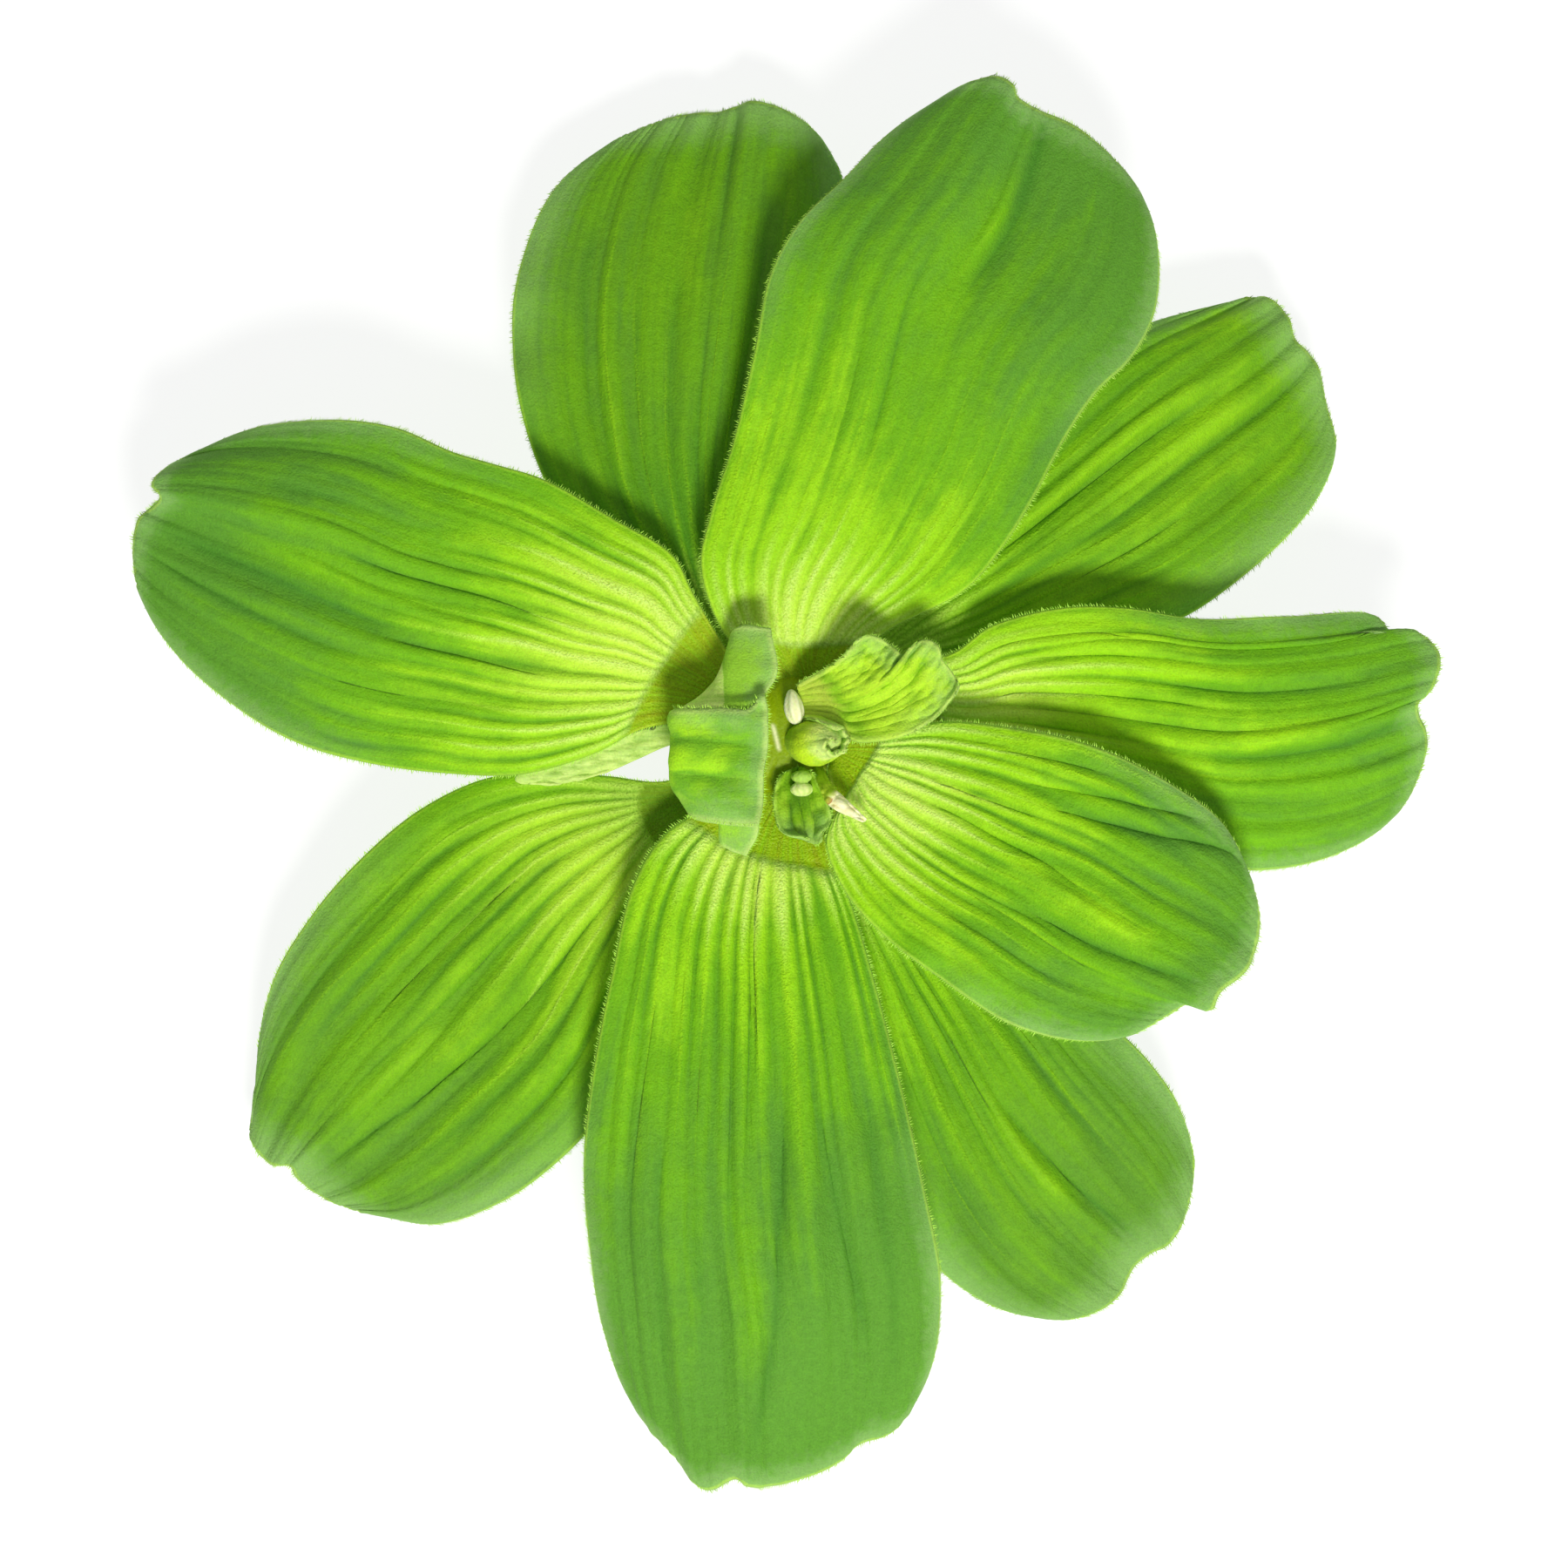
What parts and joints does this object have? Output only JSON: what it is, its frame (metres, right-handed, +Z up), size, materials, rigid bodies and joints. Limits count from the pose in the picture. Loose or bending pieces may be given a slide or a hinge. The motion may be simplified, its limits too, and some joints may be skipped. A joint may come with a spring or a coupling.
{
  "type": "water lettuce rosette",
  "caption": "Water lettuce rosette with broad, ribbed, velvety leaves spread round a leafy bud, resting on its own roots.",
  "frame": {"origin": "on the flat foot of the root mass, straight under the middle of the crown", "axes": "+Z up from the foot through the crown; +Y along the north leaf and +X along the east leaf, as seen from above"},
  "size_m": [0.194, 0.2096, 0.039],
  "materials": {
    "root_fibre": "matte, damp fibres",
    "crown_stem": "smooth, slightly waxy stem",
    "leaf_lower": "velvety leaf, ribbed, mid green",
    "leaf_upper": "velvety leaf, ribbed, bright yellow-green",
    "leaf_young": "velvety young leaf, pale green",
    "membrane": "thin, half see-through membrane with dark fibres",
    "flower_white": "soft, slightly waxy, whitish"
  },
  "bodies": {
    "root": {"root_mass": "root_fibre", "crown": "crown_stem", "leaf_north_northwest": "leaf_lower", "leaf_southwest": "leaf_lower", "leaf_southeast": "leaf_lower", "leaf_northeast": "leaf_lower", "leaf_west": "leaf_upper", "leaf_south": "leaf_upper", "leaf_east": "leaf_upper", "leaf_north": "leaf_upper", "leaf_east_southeast": "leaf_upper", "young_leaf_folded": "leaf_young", "young_leaf_crumpled": "leaf_young", "bud_rolled": "leaf_young", "bract_cupped": "leaf_young", "stipule": "membrane", "bract_withered": "flower_white", "spadix": "flower_white", "spathe_white": "flower_white"}
  },
  "joints": []
}
